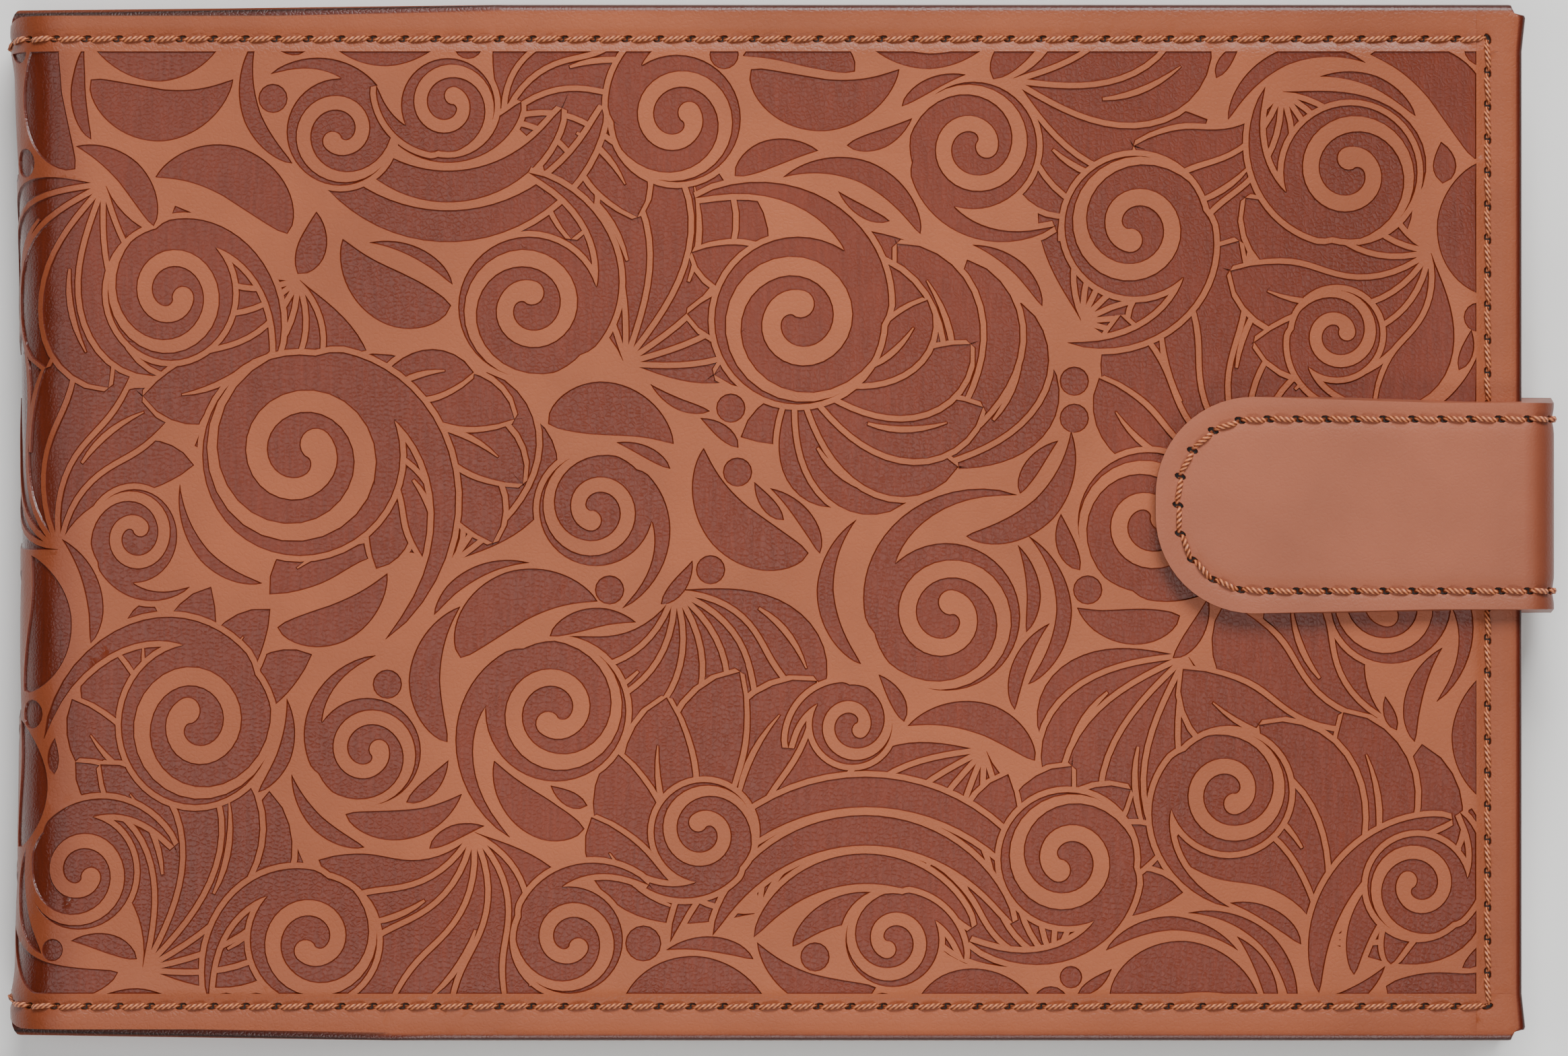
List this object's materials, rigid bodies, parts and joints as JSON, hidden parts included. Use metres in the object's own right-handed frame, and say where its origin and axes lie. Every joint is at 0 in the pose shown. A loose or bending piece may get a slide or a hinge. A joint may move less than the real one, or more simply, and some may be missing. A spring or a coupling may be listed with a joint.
{
  "type": "notebook cover",
  "caption": "Landscape leather notebook cover with rolled spine, debossed scrollwork, stitched edges, inner pockets, a paper refill and a magnetic strap round the fore-edge.",
  "frame": {"origin": "centre of the closed cover's footprint, strap bend included, on the surface that the back cover lies on", "axes": "+X from the spine to the fore-edge, +Y from the tail to the head of the front cover, +Z from the back cover to the front cover"},
  "size_m": [0.2304, 0.1538, 0.0234],
  "materials": {
    "outer_leather": "semi-gloss, debossed scrollwork",
    "strap_leather": "smooth, semi-gloss, raw cut edges",
    "lining_leather": "matt grain",
    "thread": "waxed twisted thread",
    "board": "matt",
    "padding": "soft sheet",
    "steel": "plain",
    "card": "matt kraft card",
    "paper": "matt cream paper",
    "book_cloth": "book cloth tape"
  },
  "bodies": {
    "back_cover": {"back_leather": "outer_leather", "back_padding": "padding", "back_board": "board", "back_lining": "lining_leather", "back_pocket": "lining_leather", "back_seam": "thread", "refill_back_card": "card", "refill_front_card": "card", "page_block": "paper", "refill_spine_tape": "book_cloth", "strap_anchor_leather": "strap_leather", "strap_anchor_lining": "lining_leather"},
    "spine": {"spine_leather": "outer_leather", "spine_lining": "lining_leather", "spine_seam": "thread"},
    "front_cover": {"front_leather": "outer_leather", "front_padding": "padding", "front_board": "board", "front_lining": "lining_leather", "front_pocket": "lining_leather", "front_seam": "thread", "keeper_plate": "steel"},
    "strap_wall": {"strap_wall_leather": "strap_leather", "strap_wall_lining": "lining_leather", "strap_wall_seam": "thread"},
    "strap_tongue": {"strap_tongue_leather": "strap_leather", "strap_tongue_lining": "lining_leather", "strap_tongue_seam": "thread", "strap_magnet": "steel"}
  },
  "joints": [
    {"name": "spine_hinge", "type": "hinge", "parent": "back_cover", "child": "spine", "pos_m": [-0.1128, 0, 0.0024], "axis": [0, -1, 0], "range_deg": [0, 90]},
    {"name": "front_hinge", "type": "hinge", "parent": "spine", "child": "front_cover", "pos_m": [-0.1128, 0, 0.0186], "axis": [0, -1, 0], "range_deg": [0, 90]},
    {"name": "strap_root", "type": "hinge", "parent": "back_cover", "child": "strap_wall", "pos_m": [0.11343, 0.0026, 0.00377], "axis": [0, 1, 0], "range_deg": [0, 90]},
    {"name": "strap_bend", "type": "hinge", "parent": "strap_wall", "child": "strap_tongue", "pos_m": [0.11343, 0.0026, 0.02163], "axis": [0, 1, 0], "range_deg": [0, 90]}
  ]
}
